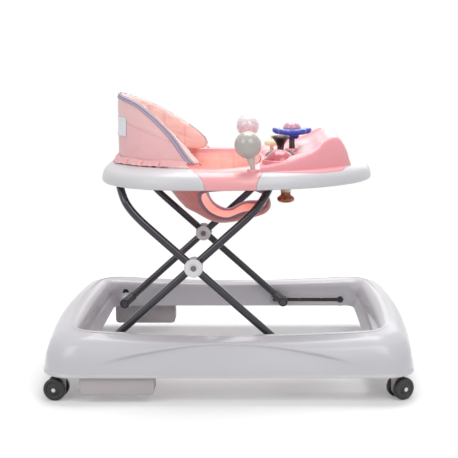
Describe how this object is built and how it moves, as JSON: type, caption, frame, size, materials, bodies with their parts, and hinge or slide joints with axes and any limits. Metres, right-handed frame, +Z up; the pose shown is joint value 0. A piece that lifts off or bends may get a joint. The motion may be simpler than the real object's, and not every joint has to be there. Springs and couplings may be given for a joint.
{
  "type": "baby walker",
  "caption": "Folding baby walker with a wheeled base ring, crossed leg frames, padded fabric seat and a play tray with toys.",
  "frame": {"origin": "centre of the base ring's bounding box, on the floor", "axes": "+X towards the nose of the play tray, +Z up"},
  "size_m": [0.726, 0.584, 0.5613],
  "materials": {
    "base_shell": "glossy pale grey moulding",
    "stopper_rubber": "matt grey",
    "zinc_steel": "zinc plated",
    "housing_plastic": "satin light grey",
    "leg_tube": "gloss black powder coat",
    "black_cap": "satin black",
    "wheel_black": "satin black",
    "disc_plastic": "satin grey",
    "tray_pink": "gloss pink",
    "tray_white": "gloss white",
    "console_pink": "high gloss pink",
    "track_plastic": "satin brown",
    "latch_beige": "satin beige",
    "knob_orange": "gloss orange",
    "toy_blue": "gloss blue",
    "toy_pink": "gloss pink",
    "toy_dark": "gloss dark brown",
    "toy_black": "gloss black",
    "toy_yellow": "gloss pale yellow",
    "rattle_clear": "translucent white",
    "rattle_stem": "gloss grey beige",
    "seat_fabric": "padded woven pink",
    "sling_fabric": "woven red pink"
  },
  "bodies": {
    "base": {"base_frame": "base_shell", "stopper_pads": "stopper_rubber", "stopper_screws": "zinc_steel", "caster_sleeves": "housing_plastic"},
    "caster_rear_right": {"caster_housing_rear_right": "housing_plastic", "caster_pins_rear_right": "zinc_steel"},
    "wheel_rear_right_outer": {"wheel_rear_right_outer": "wheel_black"},
    "wheel_rear_right_inner": {"wheel_rear_right_inner": "wheel_black"},
    "caster_rear_left": {"caster_housing_rear_left": "housing_plastic", "caster_pins_rear_left": "zinc_steel"},
    "wheel_rear_left_outer": {"wheel_rear_left_outer": "wheel_black"},
    "wheel_rear_left_inner": {"wheel_rear_left_inner": "wheel_black"},
    "caster_front_right": {"caster_housing_front_right": "housing_plastic", "caster_pins_front_right": "zinc_steel"},
    "wheel_front_right_outer": {"wheel_front_right_outer": "wheel_black"},
    "wheel_front_right_inner": {"wheel_front_right_inner": "wheel_black"},
    "caster_front_left": {"caster_housing_front_left": "housing_plastic", "caster_pins_front_left": "zinc_steel"},
    "wheel_front_left_outer": {"wheel_front_left_outer": "wheel_black"},
    "wheel_front_left_inner": {"wheel_front_left_inner": "wheel_black"},
    "pivot_legs": {"pivot_frame": "leg_tube", "pivot_frame_caps": "black_cap", "pivot_pins": "zinc_steel", "cross_bolts": "zinc_steel", "cross_discs_outer": "disc_plastic", "cross_discs_inner": "disc_plastic", "cross_spacers": "disc_plastic"},
    "slide_legs": {"slide_frame": "leg_tube", "slide_frame_caps": "black_cap", "slide_pins": "zinc_steel"},
    "tray": {"tray_ring": "tray_pink", "tray_rear_band": "tray_white", "tray_front_band": "tray_white", "console": "console_pink", "sound_module": "black_cap", "battery_door": "tray_white", "rear_clamps": "black_cap", "height_track": "track_plastic", "latch_housing": "latch_beige", "flower_post": "disc_plastic", "horn_plate": "toy_dark", "spinner_post": "disc_plastic", "rattle_sockets": "toy_pink", "seat_back": "seat_fabric", "seat_sling": "sling_fabric", "seat_clips": "black_cap"},
    "latch": {"latch_pin": "zinc_steel", "latch_knob": "knob_orange", "latch_spring": "zinc_steel"},
    "flower": {"flower_disc": "toy_blue", "flower_cap": "toy_pink"},
    "horn": {"horn_button": "toy_black"},
    "dome": {"dome_button": "console_pink"},
    "spinner": {"spinner_knob": "toy_yellow"},
    "rattle_right": {"rattle_ball_right": "rattle_clear", "rattle_stem_right": "rattle_stem"},
    "rattle_left": {"rattle_ball_left": "rattle_clear", "rattle_stem_left": "rattle_stem"}
  },
  "joints": [
    {"name": "swivel_rear_right", "type": "hinge", "parent": "base", "child": "caster_rear_right", "pos_m": [-0.314, -0.252, 0.05], "axis": [0, 0, 1], "continuous": true},
    {"name": "roll_rear_right_outer", "type": "hinge", "parent": "caster_rear_right", "child": "wheel_rear_right_outer", "pos_m": [-0.3239, -0.25061, 0.0215], "axis": [-0.1392, -0.9903, 0], "continuous": true},
    {"name": "roll_rear_right_inner", "type": "hinge", "parent": "caster_rear_right", "child": "wheel_rear_right_inner", "pos_m": [-0.3239, -0.25061, 0.0215], "axis": [-0.1392, -0.9903, 0], "continuous": true},
    {"name": "swivel_rear_left", "type": "hinge", "parent": "base", "child": "caster_rear_left", "pos_m": [-0.314, 0.252, 0.05], "axis": [0, 0, 1], "continuous": true},
    {"name": "roll_rear_left_outer", "type": "hinge", "parent": "caster_rear_left", "child": "wheel_rear_left_outer", "pos_m": [-0.3239, 0.25061, 0.0215], "axis": [0.1392, -0.9903, 0], "continuous": true},
    {"name": "roll_rear_left_inner", "type": "hinge", "parent": "caster_rear_left", "child": "wheel_rear_left_inner", "pos_m": [-0.3239, 0.25061, 0.0215], "axis": [0.1392, -0.9903, 0], "continuous": true},
    {"name": "swivel_front_right", "type": "hinge", "parent": "base", "child": "caster_front_right", "pos_m": [0.314, -0.252, 0.05], "axis": [0, 0, 1], "continuous": true},
    {"name": "roll_front_right_outer", "type": "hinge", "parent": "caster_front_right", "child": "wheel_front_right_outer", "pos_m": [0.32283, -0.2473, 0.0215], "axis": [-0.4695, 0.8829, 0], "continuous": true},
    {"name": "roll_front_right_inner", "type": "hinge", "parent": "caster_front_right", "child": "wheel_front_right_inner", "pos_m": [0.32283, -0.2473, 0.0215], "axis": [-0.4695, 0.8829, 0], "continuous": true},
    {"name": "swivel_front_left", "type": "hinge", "parent": "base", "child": "caster_front_left", "pos_m": [0.314, 0.252, 0.05], "axis": [0, 0, 1], "continuous": true},
    {"name": "roll_front_left_outer", "type": "hinge", "parent": "caster_front_left", "child": "wheel_front_left_outer", "pos_m": [0.32378, 0.24992, 0.0215], "axis": [0.2079, 0.9781, 0], "continuous": true},
    {"name": "roll_front_left_inner", "type": "hinge", "parent": "caster_front_left", "child": "wheel_front_left_inner", "pos_m": [0.32378, 0.24992, 0.0215], "axis": [0.2079, 0.9781, 0], "continuous": true},
    {"name": "fold", "type": "hinge", "parent": "base", "child": "pivot_legs", "pos_m": [-0.245, 0, 0.08], "axis": [0, 1, 0], "range_deg": [-2, 36]},
    {"name": "leg_cross", "type": "hinge", "parent": "pivot_legs", "child": "slide_legs", "pos_m": [-0.06675, 0, 0.241], "axis": [0, 1, 0], "range_deg": [-73, 5]},
    {"name": "tray_level", "type": "hinge", "parent": "slide_legs", "child": "tray", "pos_m": [-0.214, 0, 0.404], "axis": [0, 1, 0], "range_deg": [-3, 37]},
    {"name": "latch_pull", "type": "slide", "parent": "tray", "child": "latch", "axis": [0, 0, -1], "range_m": [0, 0.008], "stiffness_N_per_m": 400, "springref_m": -0.004, "deforming": ["latch_spring"]},
    {"name": "flower_spin", "type": "hinge", "parent": "tray", "child": "flower", "pos_m": [0.124, 0, 0.48], "axis": [0, 0, 1], "continuous": true},
    {"name": "spinner_turn", "type": "hinge", "parent": "tray", "child": "spinner", "pos_m": [0.084, 0.092, 0.455], "axis": [0, 0, 1], "continuous": true},
    {"name": "horn_press", "type": "slide", "parent": "tray", "child": "horn", "axis": [0, 0, -1], "range_m": [0, 0.004], "stiffness_N_per_m": 300, "springref_m": -0.003},
    {"name": "dome_press", "type": "slide", "parent": "tray", "child": "dome", "axis": [0, 0, -1], "range_m": [0, 0.002], "stiffness_N_per_m": 400, "springref_m": -0.003},
    {"name": "rattle_wobble_right", "type": "hinge", "parent": "tray", "child": "rattle_right", "pos_m": [0.046, -0.215, 0.4286], "axis": [0, 1, 0], "range_deg": [-8, 8], "stiffness_Nm_per_rad": 0.6},
    {"name": "rattle_wobble_left", "type": "hinge", "parent": "tray", "child": "rattle_left", "pos_m": [0.046, 0.215, 0.4286], "axis": [0, 1, 0], "range_deg": [-8, 8], "stiffness_Nm_per_rad": 0.6}
  ],
  "couplings": [
    {"joint": "leg_cross", "follows": "fold", "ratio": -2},
    {"joint": "tray_level", "follows": "fold", "ratio": 1}
  ]
}
